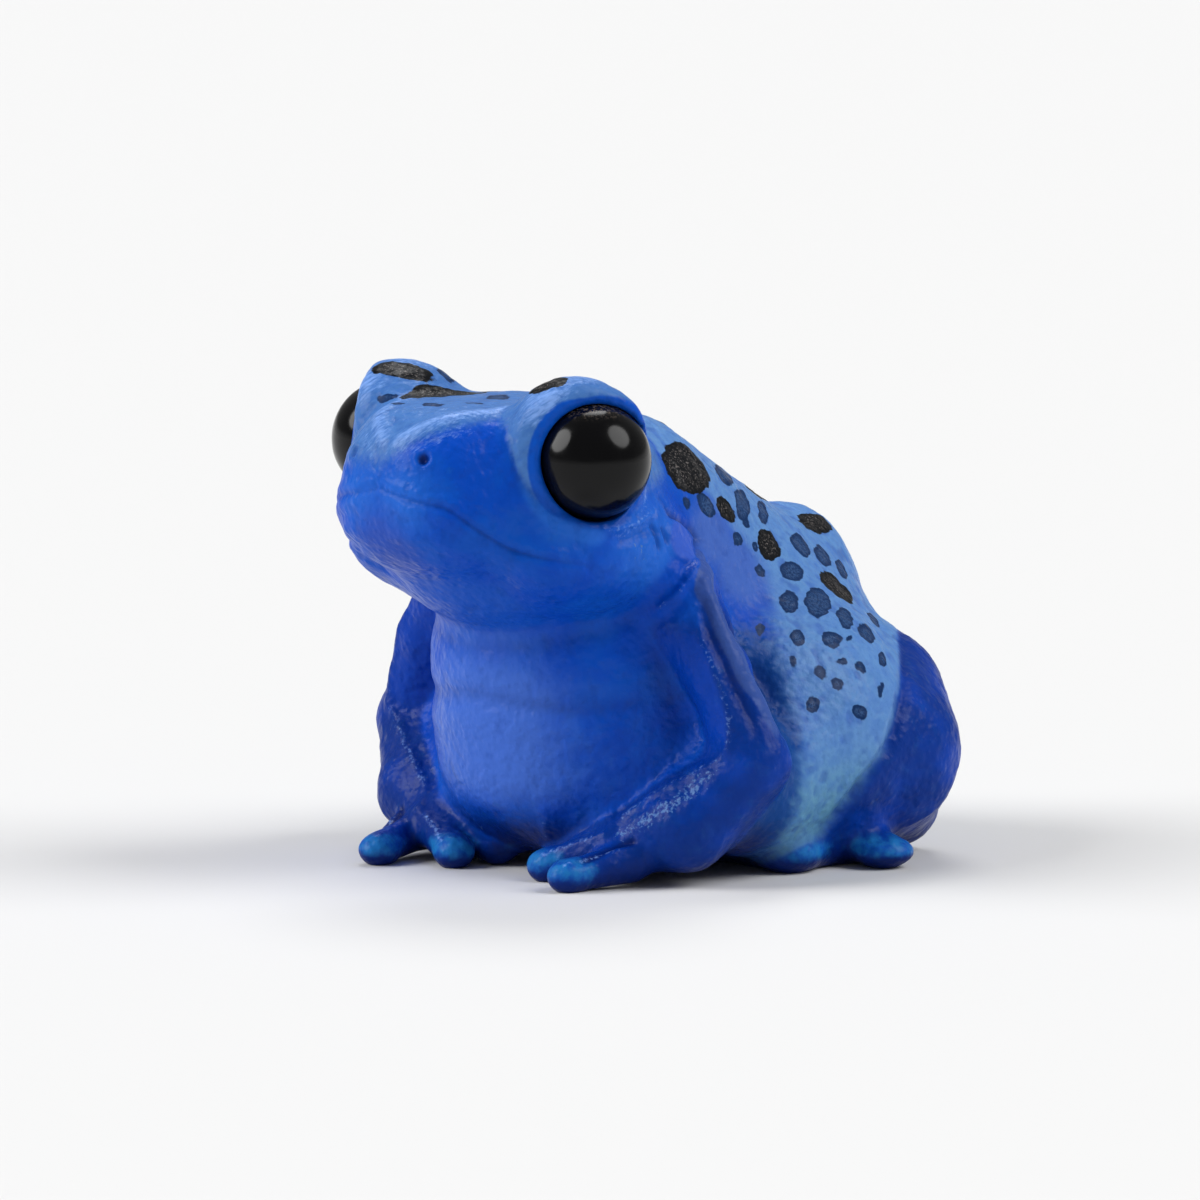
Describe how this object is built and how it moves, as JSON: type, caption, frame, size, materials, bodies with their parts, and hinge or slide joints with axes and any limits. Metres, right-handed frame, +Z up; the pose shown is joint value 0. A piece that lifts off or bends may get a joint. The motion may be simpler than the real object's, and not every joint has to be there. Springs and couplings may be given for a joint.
{
  "type": "poison dart frog figurine",
  "caption": "Small painted figurine of a blue poison dart frog sitting up on its forelegs, with dark spots on its back and glossy black bead eyes.",
  "frame": {"origin": "on the floor under the centre of the frog's bounding box", "axes": "-Y is the way the frog faces, +X is its left side, +Z is up"},
  "size_m": [0.0412, 0.0486, 0.0375],
  "materials": {
    "head_paint": "satin cobalt and sky blue paint, stippled",
    "jaw_paint": "satin cobalt paint shading to violet blue",
    "back_paint": "satin sky blue paint with black and navy spots",
    "limb_paint": "satin ultramarine paint with pale dry brushing",
    "toe_paint": "satin teal blue paint",
    "eye_gloss": "high gloss black"
  },
  "bodies": {
    "root": {"head": "head_paint", "lower_jaw": "jaw_paint", "torso": "back_paint", "upper_arm_left": "limb_paint", "forearm_left": "limb_paint", "hand_left": "toe_paint", "haunch_left": "limb_paint", "hind_foot_left": "toe_paint", "eye_left": "eye_gloss", "upper_arm_right": "limb_paint", "forearm_right": "limb_paint", "hand_right": "toe_paint", "haunch_right": "limb_paint", "hind_foot_right": "toe_paint", "eye_right": "eye_gloss"}
  },
  "joints": []
}
